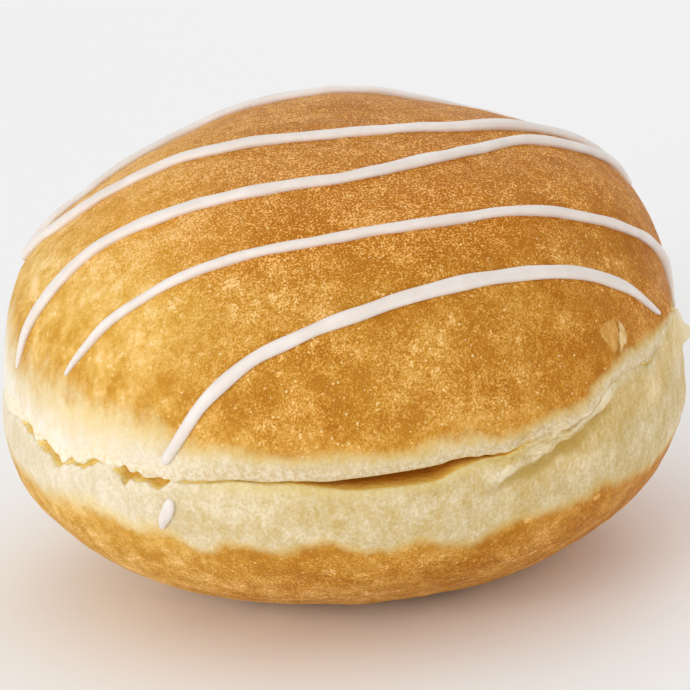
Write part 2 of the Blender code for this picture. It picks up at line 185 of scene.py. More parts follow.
# Routes of the strands, as azimuth and elevation on the skin, each with the lengths over which its
# first and last end are drawn in, and its widths from end to end, in millimetres
STRANDS = [
    ([(126, 21), (110, 25), (94, 27), (78, 26), (64, 25), (52, 24)], 3.0, 3.0, [1.7]),
    ([(147, 33), (131, 40), (113, 45), (92, 48), (71, 46), (50, 40), (37, 36), (29, 32)], 3.0, 0.8, [1.7]),
    ([(29, 32), (35, 40), (46, 49), (58, 59.5), (72, 66), (94, 69), (122, 66.5), (140, 60.5), (154, 54),
      (163, 46.5), (169.5, 39.5), (171.5, 34), (172.5, 28)], 0.8, 1.5, [2.1, 2.4, 2.3]),
    ([(172.5, 28), (175, 31), (180, 37), (185, 45), (190, 59), (198, 71), (222, 80), (279, 83),
      (329, 78), (349, 70), (5, 60), (12, 49), (17, 39), (18, 29)], 1.5, 0.8, [1.9, 2.2, 2.2, 2.0]),
    ([(18, 29), (13, 37), (6, 45), (358, 53), (345, 62), (318, 67), (291, 68), (263, 66), (240, 62),
      (223, 55.3), (211, 44.5), (203.6, 29), (199, 13)], 0.8, 9.0, [1.8]),
    ([(216.8, 16.5), (224.5, 29), (235, 39.4), (249, 46.6), (266, 50), (284, 51), (301, 50), (318, 46),
      (332, 38), (344, 29), (352, 20), (356, 13), (358, 8)], 9.0, 9.0, [1.3]),
    ([(239.8, 4.3), (246, 15), (254, 23.8), (262, 28.7), (272, 32.4), (284, 35.2), (295, 35.5), (307, 34),
      (317, 30.6), (327, 23.5), (336.6, 14.2)], 0.8, 12.0, [1.2, 1.6, 1.7, 2.0, 1.9, 1.7, 1.6]),
]
DRIP = ([(240.9, 0.3), (240.3, -2.4), (238.9, -5.4), (238.0, -7.8), (237.6, -9.8)],
        1.6, 2.0, [1.5, 1.5, 1.1])

# The bead of a strand: its steps, its depth under the skin, its faces round, the degrees by which it is
# undercut, the share of its width at its foot and of its size at its tips, its unevenness and its seeds
STRAND_SEGMENT = 0.3
STRAND_ROOT = 0.45
STRAND_FACES = 14
STRAND_UNDERCUT = 30
STRAND_FOOT = 0.75
STRAND_TIP_SHARE = 0.13
STRAND_WOBBLE = 0.09
STRAND_SWELL = 0.1
STRAND_WOBBLE_SIZE, STRAND_WIDTH_SIZE, STRAND_HEIGHT_SIZE = 5, 4, 6
STRAND_SMOOTHING = 7
STRAND_SEED, STRAND_SEED_STEP, DRIP_SEED = 100, 10, 200

# How the fine skin is divided
FRONT_START, FRONT_END = 184, 366
FRONT_COLUMNS = 420
BACK_COLUMNS = 220
DOME_ROWS = 74
DOME_ROW_GROWTH = 0.9
BOWL_ROWS = 54
BOWL_ROW_GROWTH = 0.9
COARSE_DOME_ROWS = 34
COARSE_BOWL_ROWS = 20
LIP_ANGLES = np.linspace(0, 90, 9)[1:]
WALL_SHARES = np.linspace(1, 0, 7)[1:-1]
MERIDIAN_SAMPLES = 1441
ROUTE_SAMPLES = 40
NUDGE = 0.05


def direction(azimuth, elevation):
    """Unit vectors out of the centre."""
    turn, rise = np.radians(azimuth), np.radians(elevation)
    return np.stack([np.cos(rise) * np.cos(turn), np.cos(rise) * np.sin(turn), np.sin(rise)], -1)


def skin(azimuth, elevation):
    """Points of the plain bun, without crease or folds, in millimetres from the centre."""
    azimuth, elevation = np.broadcast_arrays(np.float64(azimuth), np.float64(elevation))
    turn, rise = np.radians(azimuth), np.radians(elevation)
    above = rise >= 0
    power = 2 / np.where(above, DOME_POWER, BOWL_POWER)
    radius = HALF_WIDTH * np.abs(np.cos(rise)) ** power
    height = np.sign(rise) * np.where(above, DOME_HEIGHT, BOWL_DEPTH) * np.abs(np.sin(rise)) ** power
    lean = np.where(above, DOME_LEAN, BOWL_LEAN) * height
    plain = np.stack([radius * np.cos(turn) + lean, radius * np.sin(turn), height], -1)
    outward = direction(azimuth, elevation)
    swell = np.zeros(azimuth.shape)
    for centre_azimuth, centre_elevation, swelling in SWELLINGS:
        nearness = outward @ direction(centre_azimuth, centre_elevation)
        swell += swelling * np.exp((nearness - 1) / SWELLING_SPREAD ** 2)
    return plain + swell[..., None] * outward


def round_the_bun(stations, azimuth):
    """Values at any azimuth, on a smooth closed curve through stations of (azimuth, value, ...)."""
    table = np.array(stations, float)
    knots = np.concatenate([table[-2:, 0] - 360, table[:, 0], table[:2, 0] + 360])
    values = np.concatenate([table[-2:, 1:], table[:, 1:], table[:2, 1:]])
    slopes = np.gradient(values, knots, axis=0)
    azimuth = np.mod(np.asarray(azimuth, float) - table[0, 0], 360) + table[0, 0]
    left = np.clip(np.searchsorted(knots, azimuth, side="right") - 1, 0, len(knots) - 2)
    gap = knots[left + 1] - knots[left]
    part = ((azimuth - knots[left]) / gap)[..., None]
    gap = gap[..., None]
    return (
        (1 + 2 * part) * (1 - part) ** 2 * values[left]
        + part * (1 - part) ** 2 * gap * slopes[left]
        + part ** 2 * (3 - 2 * part) * values[left + 1]
        + part ** 2 * (part - 1) * gap * slopes[left + 1]
    )


def degrees_between(azimuth, centre):
    return np.mod(azimuth - centre + 180, 360) - 180


def waves(points, size, seed, squeeze=(1, 1, 1)):
    """A smooth uneven field over points in millimetres, about -1 to 1, with features of that size."""
    draw = np.random.default_rng(seed)
    ways = draw.normal(size=(WAVES_IN_A_FIELD, 3))
    ways /= np.linalg.norm(ways, axis=1, keepdims=True)
    ways *= np.array(squeeze) * draw.uniform(0.7, 1.4, (WAVES_IN_A_FIELD, 1)) * np.pi / size
    phases = draw.uniform(0, 2 * np.pi, WAVES_IN_A_FIELD)
    field = np.zeros(points.shape[:-1])
    for way, phase in zip(ways, phases):
        field += np.cos(points @ way + phase)
    return field / np.sqrt(WAVES_IN_A_FIELD)


def wave_sum(points, table):
    return sum(strength * waves(points, *field) for strength, *field in table)


def ragged(azimuth, seed, slowest, fastest):
    """A closed uneven line round the bun, about -1 to 1, from so many to so many waves a turn."""
    draw = np.random.default_rng(seed)
    turns = draw.integers(slowest, fastest, WAVES_IN_A_LINE)
    phases = draw.uniform(0, 2 * np.pi, WAVES_IN_A_LINE)
    line = np.zeros(np.shape(azimuth))
    for count, phase in zip(turns, phases):
        line += np.cos(np.radians(azimuth) * count + phase)
    return line / np.sqrt(WAVES_IN_A_LINE)


def ragged_sum(azimuth, table):
    return sum(strength * ragged(azimuth, *line) for strength, *line in table)


def crease_at(azimuth):
    """Height, opening and depth of the crease, with its torn edge."""
    level, opening, depth = np.moveaxis(round_the_bun(CREASE, azimuth), -1, 0)
    torn = round_the_bun(RAGGEDNESS, azimuth)[..., 0]
    level = level + torn * ragged_sum(azimuth, RAGGED_LEVEL)
    opening = opening * (1 + torn * ragged_sum(azimuth, RAGGED_OPENING))
    return level, np.maximum(opening, THINNEST_OPENING), np.maximum(depth, SHALLOWEST_DEPTH)


def fold_relief(azimuth, height):
    """The strips and grooves of the folds, in millimetres."""
    out = np.zeros(np.shape(height))
    for route, depth, reach_below, reach_above, strip in FOLDS:
        first, last = route[0][0], route[-1][0]
        along = first + np.mod(azimuth - first, 360)
        ends = np.clip((along - first) / FOLD_FADE, 0, 1) * np.clip((last - along) / FOLD_FADE, 0, 1)
        off = height - np.interp(along, [p[0] for p in route], [p[1] for p in route])
        off = off - ragged_sum(azimuth, RAGGED_FOLDS)
        reach = np.where(off < 0, reach_below, reach_above)
        out += ends * strip * np.exp(-((off - STRIP_OFFSET) / STRIP_REACH) ** 2)
        out -= ends * depth * np.exp(-(off / reach) ** 2)
    return out


def relief(azimuth, height):
    """How far the skin stands out near the crease, in millimetres."""
    above = height - crease_at(azimuth)[0]
    step = round_the_bun(STEP_OUT, azimuth)[..., 0]
    out = -step * np.tanh(above / STEP_BLUR) * np.exp(-np.abs(above) / STEP_REACH)
    for centre, level, spread, reach, lump in LUMPS:
        off_side = degrees_between(azimuth, centre) / spread
        out += lump * np.exp(-off_side ** 2 - ((height - level) / reach) ** 2)
    return out + fold_relief(azimuth, height)


def browning_at(azimuth, height):
    """Depth into the browned crust, in half widths of its soft edge, negative outside."""
    dome_level, dome_soft = np.moveaxis(round_the_bun(DOME_BROWN_ENDS, azimuth), -1, 0)
    base_level, base_soft = np.moveaxis(round_the_bun(BASE_BROWN_ENDS, azimuth), -1, 0)
    return np.maximum((height - dome_level) / dome_soft, (base_level - height) / base_soft)


def wrinkle_share(azimuth, height):
    """Where the waist is finely wrinkled: on the rope of dough between crease and fold at the right."""
    above = height - round_the_bun(CREASE, azimuth)[..., 0]
    across = np.exp(-((above - ROPE_HEIGHT) / ROPE_REACH) ** 2)
    return across * np.exp(-(degrees_between(azimuth, ROPE_AZIMUTH) / ROPE_SPREAD) ** 4)


def fine_relief(points, waist, wrinkled):
    """The small unevenness of the crust and of the stretched waist, in millimetres."""
    return (wave_sum(points, CRUST_WAVES) * (1 - waist) + wave_sum(points, WAIST_WAVES) * waist
            + wave_sum(points, WRINKLE_WAVES) * wrinkled)


def surface(azimuth, elevation):
    """Points of the bun with its folds and fine relief, without the crease."""
    plain = skin(azimuth, elevation)
    azimuth = np.broadcast_to(azimuth, plain.shape[:-1])
    height = plain[..., 2]
    waist = 1 / (1 + np.exp(2 * browning_at(azimuth, height)))
    out = relief(azimuth, height) + fine_relief(plain, waist, wrinkle_share(azimuth, height))
    return plain + out[..., None] * direction(azimuth, elevation)


def surface_normal(azimuth, elevation):
    here = skin(azimuth, elevation)
    east = skin(azimuth + NUDGE, elevation) - here
    north = skin(azimuth, elevation + NUDGE) - here
    normal = np.cross(east, north)
    return normal / np.linalg.norm(normal, axis=-1, keepdims=True)


def growing_steps(count, growth):
    """Shares from 0 to 1 whose steps grow along the way."""
    return np.expm1(growth * np.arange(count + 1) / count) / np.expm1(growth)


def crease_profile(opening, depth):
    """The crease across: distances along the skin from its middle, and how far out, bottom to top."""
    half = opening / 2
    along, out = [], []
    for side, (length, drop) in ((-1, LOWER_LIP), (1, UPPER_LIP)):
        drop = min(drop, LIP_SHARE_OF_DEPTH * depth)
        angles = np.radians(LIP_ANGLES)
        wall_along = half * WALL_SHARES[::-1] ** 0.5
        wall_out = -depth + (depth - drop) * WALL_SHARES[::-1]
        side_along = np.concatenate([wall_along, [half], half + length * (1 - np.cos(angles))])
        side_out = np.concatenate([wall_out, [-drop], -drop * (1 - np.sin(angles))])
        if side < 0:
            side_along = np.concatenate([-side_along[::-1], [0]])
            side_out = np.concatenate([side_out[::-1], [-depth]])
        along.append(side_along)
        out.append(side_out)
    return np.concatenate(along), np.concatenate(out)


def meridian(azimuth):
    """Elevations of one column, how far each point stands out, and how deep it is in the crease."""
    elevations = np.linspace(-90, 90, MERIDIAN_SAMPLES)
    plain = skin(azimuth, elevations)
    lengths = np.concatenate([[0], np.cumsum(np.linalg.norm(np.diff(plain, axis=0), axis=1))])
    level, opening, depth = crease_at(azimuth)
    middle = np.interp(level, plain[:, 2], lengths)
    rest = np.interp(-REST_DEPTH, plain[:, 2], lengths)
    along, out = crease_profile(opening, depth)
    bowl = rest + (middle + along[0] - rest) * (1 - growing_steps(BOWL_ROWS, BOWL_ROW_GROWTH)[:0:-1])
    dome = middle + along[-1] + (lengths[-1] - middle - along[-1]) * growing_steps(
        DOME_ROWS, DOME_ROW_GROWTH)[1:]
    places = np.concatenate([bowl, middle + along, dome])
    outs = np.concatenate([np.zeros(len(bowl)), out, np.zeros(len(dome))])
    return np.interp(places, lengths, elevations), outs


def column_azimuths():
    front = np.linspace(FRONT_START, FRONT_END, FRONT_COLUMNS, endpoint=False)
    back = np.linspace(FRONT_END, FRONT_START + 360, BACK_COLUMNS, endpoint=False)
    return np.concatenate([front, back])


def bun_grid():
    """Points of every column and row, and the values that the dough's material reads at them."""
    azimuths = column_azimuths()
    columns = [meridian(azimuth) for azimuth in azimuths]
    elevations = np.array([c[0] for c in columns])
    outs = np.array([c[1] for c in columns])
    turns = np.repeat(azimuths[:, None], elevations.shape[1], axis=1)
    points = surface(turns, elevations)
    points += outs[..., None] * direction(turns, np.zeros_like(turns))
    points[:, 0, 2] = -REST_DEPTH
    points[..., 2] = np.maximum(points[..., 2], -REST_DEPTH)
    points[:, -1] = points[:, -1].mean(0)
    heights = skin(turns, elevations)[..., 2]
    return points, {
        "browning": browning_at(turns, heights),
        "crease_depth": -outs,
        "above_crease": heights - crease_at(turns)[0],
        "folds": fold_relief(turns, heights),
        "wrinkled": wrinkle_share(turns, heights),
    }


def add_mesh(name, points, faces, values=None):
    """An object from points in millimetres, with named values at its points."""
    data = bpy.data.meshes.new(name)
    data.from_pydata((points * MILLIMETRE).tolist(), [], faces)
    for value_name, value in (values or {}).items():
        layer = data.attributes.new(value_name, "FLOAT", "POINT")
        layer.data.foreach_set("value", np.asarray(value, np.float32))
    data.shade_smooth()
    data.update()
    made = bpy.data.objects.new(name, data)
    bpy.context.scene.collection.objects.link(made)
    return made


def build_dough():
    """The bun as one closed mesh, with every second column left out near the pole and the foot."""
    points, values = bun_grid()
    count, rows = points.shape[:2]
    full = np.zeros(rows, bool)
    full[COARSE_BOWL_ROWS:rows - 1 - COARSE_DOME_ROWS] = True
    kept = np.zeros((count, rows), bool)
    kept[:, full] = True
    kept[::2] = True
    kept[:, -1] = False
    index = np.full((count, rows), -1)
    index[kept] = np.arange(kept.sum())
    pole, foot = int(kept.sum()), int(kept.sum()) + 1
    faces = []
    for here in range(0, count, 2):
        trio = (here, here + 1, (here + 2) % count)
        for row in range(rows - 2):
            if full[row] and full[row + 1]:
                for left, right in zip(trio, trio[1:]):
                    faces.append((index[left, row], index[right, row],
                                  index[right, row + 1], index[left, row + 1]))
            else:
                low = [index[c, row] for c in trio if kept[c, row]]
                high = [index[c, row + 1] for c in trio if kept[c, row + 1]]
                faces.append(tuple(low + high[::-1]))
        faces.append((index[trio[0], -2], index[trio[2], -2], pole))
        faces.append((index[trio[2], 0], index[trio[0], 0], foot))
    faces = [tuple(int(corner) for corner in face) for face in faces]
    foot_point = points[:, 0].mean(0)
    foot_point[2] = -REST_DEPTH
    every_point = np.concatenate([points[kept], points[:1, -1], [foot_point]])
    every_value = {name: np.concatenate([value[kept], value[0, [-1, 0]]])
                   for name, value in values.items()}
    return add_mesh("dough", every_point, faces, every_value)


def smooth_route(stations, segment):
    """Azimuths, elevations and lengths spaced evenly along a smooth curve through the stations."""
    knots = np.array([direction(azimuth, elevation) for azimuth, elevation in stations])
    knots = np.concatenate([2 * knots[:1] - knots[1:2], knots, 2 * knots[-1:] - knots[-2:-1]])
    part = np.linspace(0, 1, ROUTE_SAMPLES, endpoint=False)[:, None]
    pieces = []
    for a, b, c, d in zip(knots, knots[1:], knots[2:], knots[3:]):
        pieces.append(
            b + part / 2 * (c - a) + part ** 2 / 2 * (2 * a - 5 * b + 4 * c - d)
            + part ** 3 / 2 * (3 * b - a - 3 * c + d))
    curve = np.concatenate(pieces + [knots[-2:-1]])

    def angles(way):
        return (np.degrees(np.arctan2(way[:, 1], way[:, 0])),
                np.degrees(np.arctan2(way[:, 2], np.hypot(way[:, 0], way[:, 1]))))

    lengths = np.linalg.norm(np.diff(skin(*angles(curve)), axis=0), axis=1)
    places = np.concatenate([[0], np.cumsum(lengths)])
    wanted = np.linspace(0, places[-1], round(places[-1] / segment) + 1)
    even = np.stack([np.interp(wanted, places, curve[:, axis]) for axis in range(3)], -1)
    return *angles(even), wanted


def along_waves(places, size, seed):
    """An uneven value along a strand, about -1 to 1."""
    line = np.stack([places, np.zeros_like(places), np.zeros_like(places)], -1)
    return waves(line, size, seed)


def build_strand(name, stations, first_end, last_end, widths, seed):
    """A rounded bead of icing along a route, rooted in the skin, with its ends drawn in."""
    azimuth, elevation, places = smooth_route(stations, STRAND_SEGMENT)
    path = surface(azimuth, elevation)
    smoothing = np.ones(STRAND_SMOOTHING) / STRAND_SMOOTHING
    spare = STRAND_SMOOTHING // 2
    padded = np.concatenate([path[:1]] * spare + [path] + [path[-1:]] * spare)
    path = np.stack([np.convolve(padded[:, axis], smoothing, "valid") for axis in range(3)], -1)
    normal = surface_normal(azimuth, elevation)
    tangent = np.gradient(path, axis=0)
    side = np.cross(tangent, normal)
    side /= np.linalg.norm(side, axis=1, keepdims=True)
    path = path + (STRAND_WOBBLE * along_waves(places, STRAND_WOBBLE_SIZE, seed))[:, None] * side
    drawn_in = np.minimum(places / first_end, (places[-1] - places) / last_end)
    share = STRAND_TIP_SHARE + (1 - STRAND_TIP_SHARE) * np.clip(drawn_in, 0, 1) ** 0.5
    width = np.interp(places / places[-1], np.linspace(0, 1, len(widths)), widths)
    wide = share * width / 2 * (1 + STRAND_SWELL * along_waves(places, STRAND_WIDTH_SIZE, seed + 1))
    tall = share * (1 + STRAND_SWELL * along_waves(places, STRAND_HEIGHT_SIZE, seed + 2))
    angles = np.radians(np.linspace(-STRAND_UNDERCUT, 180 + STRAND_UNDERCUT, STRAND_FACES + 1))
    lowest = np.sin(angles[0])
    ring = [(wide * np.cos(angle))[:, None] * side
            + (tall * STRAND_HEIGHT * (np.sin(angle) - lowest) / (1 - lowest))[:, None] * normal
            for angle in angles]
    ring += [(wide * c)[:, None] * side - STRAND_ROOT * normal for c in (-STRAND_FOOT, STRAND_FOOT)]
    points = np.stack([path + r for r in ring], 1)
    count, corners = points.shape[:2]
    faces = []
    for step in range(count - 1):
        for corner in range(corners):
            after = (corner + 1) % corners
            faces.append((step * corners + corner, (step + 1) * corners + corner,
                          (step + 1) * corners + after, step * corners + after))
    faces.append(tuple(range(corners)))
    faces.append(tuple(range((count - 1) * corners, count * corners))[::-1])
    return add_mesh(name, points.reshape(-1, 3), faces)


def place(piece, shift):
    """Moves a piece made about the bun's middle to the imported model's place."""
    piece.data.transform(Matrix.Translation(shift))
    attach(piece, "root")
    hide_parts("doughnut")


class Shader:
    """Short calls for the nodes of one material."""

    def __init__(self, name):
        self.material = bpy.data.materials.new(name)
        self.material.use_nodes = True
        self.tree = self.material.node_tree
        self.surface = self.tree.nodes["Principled BSDF"]
        self.place = self.add("ShaderNodeTexCoord").outputs["Object"]
        self.x, _, self.z = self.add("ShaderNodeSeparateXYZ", {"Vector": self.place}).outputs

    def add(self, kind, inputs=None, **settings):
        node = self.tree.nodes.new(kind)
        for key, value in settings.items():
            setattr(node, key, value)
        for key, value in (inputs or {}).items():
            self.put(node.inputs[key], value)
        return node

    def put(self, socket, value):
        if isinstance(value, bpy.types.NodeSocket):
            self.tree.links.new(value, socket)
        else:
            socket.default_value = value

    def set_surface(self, values):
        """Sets or links sockets of the surface by name, and gives the material."""
        for name, value in values.items():
            self.put(self.surface.inputs[name], value)
        return self.material

    def maths(self, operation, *values, clamp=False):
        node = self.add("ShaderNodeMath", operation=operation, use_clamp=clamp)
        for socket, value in zip(node.inputs, values):
            self.put(socket, value)
        return node.outputs[0]

    def total(self, start, *pairs):
        """A start value plus each value times its weight."""
        for value, weight in pairs:
            start = self.maths("MULTIPLY_ADD", value, weight, start)
        return start

    def product(self, first, *others):
        for other in others:
            first = self.maths("MULTIPLY", first, other)
        return first

    def value(self, name):
        """A value that the mesh has at its points."""
        return self.add("ShaderNodeAttribute", attribute_name=name).outputs["Fac"]

    def noise(self, name):
        """One of the named noises, over the object's own space."""
        size, detail, roughness, squeeze, offset = NOISES[name]
        mapping = self.add("ShaderNodeMapping", {
            "Vector": self.place, "Scale": [s / MILLIMETRE / size for s in squeeze],
            "Location": (offset, -offset, offset / 2)})
        return self.add("ShaderNodeTexNoise", {
            "Vector": mapping.outputs[0], "Scale": 1.0, "Detail": detail,
            "Roughness": roughness}).outputs["Fac"]

    def lines(self, across, along):
        """Noise drawn out along lines, from a distance in line widths across them and one along them."""
        vector = self.add("ShaderNodeCombineXYZ", {"X": across, "Y": along}).outputs[0]
        return self.add("ShaderNodeTexNoise", {
            "Vector": vector, "Scale": 1.0, "Detail": 2.0, "Distortion": ROPE_DISTORTION}).outputs["Fac"]

    def cells(self, millimetres, offset):
        """Evenly spread cells of about that size, each with a colour of its own."""
        mapping = self.add("ShaderNodeMapping", {
            "Vector": self.place, "Scale": [1 / MILLIMETRE / millimetres] * 3,
            "Location": (offset, offset, -offset)})
        return self.add("ShaderNodeTexVoronoi", {"Vector": mapping.outputs[0], "Scale": 1.0}).outputs

    def ramp(self, value, low, high, to_low=0.0, to_high=1.0, smooth=True):
        node = self.add("ShaderNodeMapRange", {
            "Value": value, "From Min": low, "From Max": high, "To Min": to_low, "To Max": to_high},
            interpolation_type="SMOOTHSTEP" if smooth else "LINEAR", clamp=True)
        return node.outputs["Result"]

    def across(self, name, to_low=0.0, to_high=1.0, smooth=True):
        """How far a point is through a named passage across the bun."""
        start, end = (place * MILLIMETRE for place in ACROSS[name])
        return self.ramp(self.x, start, end, to_low, to_high, smooth)

    def up(self, name):
        """How far a point is through a named passage up the bun."""
        start, end = (place * MILLIMETRE for place in UP[name])
        return self.ramp(self.z, start, end)

    def colours(self, value, stops):
        node = self.add("ShaderNodeValToRGB", {"Fac": value})
        while len(node.color_ramp.elements) < len(stops):
            node.color_ramp.elements.new(0.5)
        for element, (position, colour) in zip(node.color_ramp.elements, stops):
            element.position = position
            element.color = colour
        return node.outputs["Color"]

    def mix(self, share, first, second, blend="MIX"):
        node = self.add("ShaderNodeMix", data_type="RGBA", blend_type=blend, clamp_factor=True)
        self.put(node.inputs["Factor"], share)
        self.put(node.inputs["A"], first)
        self.put(node.inputs["B"], second)
        return next(socket for socket in node.outputs if socket.type == "RGBA")

    def deepen(self, share, colour, factors):
        return self.mix(share, colour, (*factors, 1.0), "MULTIPLY")

    def bump(self, height, millimetres, under=None):
        """A normal from a height, over the normal of the bumps under it."""
        node = self.add("ShaderNodeBump", {
            "Height": height, "Distance": millimetres * MILLIMETRE, "Strength": 1.0})
        if under is not None:
            self.put(node.inputs["Normal"], under)
        return node.outputs["Normal"]


def tint(red, green, blue):
    """A colour as seen, 0 to 255, as the light value that a shader takes."""
    seen = np.array([red, green, blue]) / 255
    light = np.where(seen <= 0.04045, seen / 12.92, ((seen + 0.055) / 1.055) ** 2.4)
    return (*light.tolist(), 1.0)


# Noises by name: the size of their features in millimetres, detail, roughness, how they are squeezed
# along each axis, and an offset that keeps them apart
EVEN = (1, 1, 1)
NOISES = {
    "grain": (0.25, 2, 0.6, EVEN, 19),
    "speckle": (0.7, 2, 0.6, EVEN, 13),
    "mottling": (2.6, 2, 0.5, EVEN, 23),
    "clouds": (9, 2, 0.5, EVEN, 3),
    "blotches": (1.2, 2, 0.6, EVEN, 11),
    "blotch patches": (5, 1, 0.5, EVEN, 61),
    "streaks": (2.4, 3, 0.6, (1, 1, 0.5), 91),
    "pale patches": (6, 2, 0.5, EVEN, 33),
    "glint patches": (1.6, 1, 0.5, EVEN, 53),
    "waist fibres": (0.42, 2, 0.6, (1, 1, 0.8), 47),
    "waist mottling": (1.4, 3, 0.6, (1, 1, 0.6), 43),
    "waist clouds": (6, 2, 0.5, EVEN, 45),
    "lip crumbs": (0.55, 3, 0.65, EVEN, 49),
    "border waves": (4.5, 3, 0.55, EVEN, 2),
    "border mottling": (1.1, 2, 0.6, (1, 1, 0.6), 7),
    "flake edge": (0.6, 2, 0.6, EVEN, 81),
    "flake streaks": (0.5, 2, 0.6, (1, 1, 0.3), 83),
    "torn crumbs": (0.8, 3, 0.6, EVEN, 85),
    "dough gloss": (1.2, 2, 0.5, EVEN, 51),
    "dough bumps": (0.9, 3, 0.6, EVEN, 63),
    "icing shade": (3, 2, 0.5, EVEN, 71),
    "icing gloss": (0.8, 2, 0.5, EVEN, 73),
    "icing bumps": (0.9, 2, 0.5, EVEN, 75),
}

# Spots by name: the size of their cells, the largest spot as a share of it, and an offset
SPOTS = {"blisters": (1.3, 0.3, 14), "clusters": (4.2, 0.26, 8), "glint_highlights": (0.62, 0.34, 5)}

# A cell has a spot where its draw is in this range, larger for a higher draw, with a soft edge
SPOT_DRAWS = (0.55, 1.0)
SPOT_EDGE = 0.12

# Passages over which a look comes in, from one place to another, in millimetres: across the bun from
# its middle to the photo's right, and up from where it rests
ACROSS = {
    "paler left": (-4, -32), "darker right": (-20, 36), "deeper right": (4, 42), "ruddy right": (32, 44),
    "waist yellower": (-30, 20), "waist light right": (25, 43), "waist whiter left": (-12, -36),
    "waist deeper right": (0, 30), "step shade start": (-22, -14), "step shade end": (24, 16), "flap": (41.5, 43.5),
    "hollow_shade": (18, 28), "rim left": (-10, -36), "rim past the edge": (-43, -32),
    "slit shade start": (-10, -4), "slit shade end": (26, 20),
}
UP = {"underside": (16, 6), "calm": (30, 38), "high": (34, 48), "grainy": (42, 57), "top": (44, 53),
      "flap": (24, 26)}

# Tones of the crust, of the paler crust at the left and of the waist, from the darkest to the palest
CRUST_TONES = [
    (0.08, tint(174, 107, 24)), (0.28, tint(193, 129, 39)), (0.43, tint(204, 142, 51)),
    (0.57, tint(213, 154, 65)), (0.72, tint(226, 168, 84)), (0.86, tint(240, 185, 106)),
    (1.00, tint(255, 210, 138)),
]
PALE_CRUST_TONES = [
    (0.10, tint(212, 156, 56)), (0.28, tint(222, 170, 74)), (0.43, tint(230, 181, 90)),
    (0.57, tint(237, 191, 104)), (0.72, tint(244, 202, 122)), (0.92, tint(252, 216, 156)),
]
WAIST_TONES = [
    (0.00, tint(206, 176, 106)), (0.25, tint(214, 189, 134)), (0.43, tint(220, 199, 152)),
    (0.57, tint(227, 208, 168)), (0.74, tint(236, 219, 184)), (1.00, tint(250, 237, 212)),
]

# Colours of single features. A pair is mixed by a noise, and the rim's pair from the right to the left.
# A painted highlight: the colour of tiny glints of light on the oily crust
GLINT_HIGHLIGHT = tint(253, 222, 158)
RIM_COLOURS = tint(222, 186, 108), tint(240, 210, 136)
WHITE_WAIST = tint(255, 250, 238)
LIP_CRUMBS = tint(211, 186, 140), tint(231, 215, 186)
WHITE_LIP_CRUMBS = tint(243, 228, 188), tint(255, 246, 224)
# Painted shade just below the crease, under its stepped upper lip
STEP_SHADE = tint(226, 203, 130)
# Painted shade in the grooves of the folds
GROOVE_SHADE = tint(202, 172, 90)
STRIP = tint(250, 236, 206)
# Painted shade in the hollows of the fine wrinkles
WRINKLE_SHADE = tint(208, 178, 120)
FLAP = tint(246, 240, 224)
SPECK = tint(150, 112, 60)
FLAKE_COLOURS = (tint(218, 160, 78), tint(236, 188, 112)), (tint(226, 178, 100), tint(252, 224, 168))
CRACK = tint(168, 108, 30)
ICING_COLOURS = tint(238, 229, 222), tint(230, 220, 212)

# Colours inside the torn crease, from yellow crumb made bright as painted glow to painted shade golden brown
# deeper in: the depths in millimetres over which each comes in, and its share
TORN_COLOURS_AND_SHADE = [
    (0.15, 0.6, 0.95, tint(246, 222, 138)), (0.7, 1.8, 1.0, tint(232, 190, 92)),
    (1.8, 4.2, 1.0, tint(214, 150, 48)),
]

# Factors of red, green and blue that deepen a colour
DEEP_CRUST = (1.0, 0.85, 0.70)
RUDDY_CRUST = (0.93, 0.86, 0.86)
DEEP_WAIST = (1.0, 0.96, 0.85)
# Painted shade in a hollow below the crease at the right
HOLLOW_SHADE = (1.0, 0.93, 0.76)

# Surfaces, and the heights of their bumps in millimetres
DOUGH_SURFACE = {"Specular IOR Level": 0.06, "Subsurface Weight": 0.06,
                 "Subsurface Radius": (1.0, 0.55, 0.25), "Subsurface Scale": 0.001}
ICING_SURFACE = {"Specular IOR Level": 0.4, "Subsurface Weight": 0.3,
                 "Subsurface Radius": (1.0, 0.7, 0.5), "Subsurface Scale": 0.0012}
FLOOR_SURFACE = {"Base Color": (0.97, 0.97, 0.97, 1.0), "Roughness": 0.8}
GRAIN_BUMP, SKIN_BUMP, WRINKLE_BUMP, FLAKE_BUMP, ICING_BUMP = 0.10, 0.14, 0.45, 0.12, 0.02

# The rope of dough is drawn in lines of this width and length, in millimetres
ROPE_WIDTH, ROPE_LENGTH = 0.5, 5
ROPE_DISTORTION = 0.4

# Dark specks on the waist: the size of their cells, their radius as a share of it, and their soft edge
SPECK_CELLS, SPECK_RADIUS, SPECK_EDGE = 2.1, 0.045, 0.03

# The looks of the flake end between these distances from its middle, in millimetres
FLAKE_NEAR, FLAKE_FAR = 5, 6


def spots(s, name):
    """Round spots of uneven size, in a part of evenly spread cells."""
    spacing, largest, offset = SPOTS[name]
    cells = s.cells(spacing, offset)
    draw = s.add("ShaderNodeSeparateColor", {"Color": cells["Color"]}).outputs[0]
    radius = s.ramp(draw, *SPOT_DRAWS, 0.0, largest, smooth=False)
    return s.ramp(s.maths("SUBTRACT", radius, cells["Distance"]), 0.0, SPOT_EDGE)


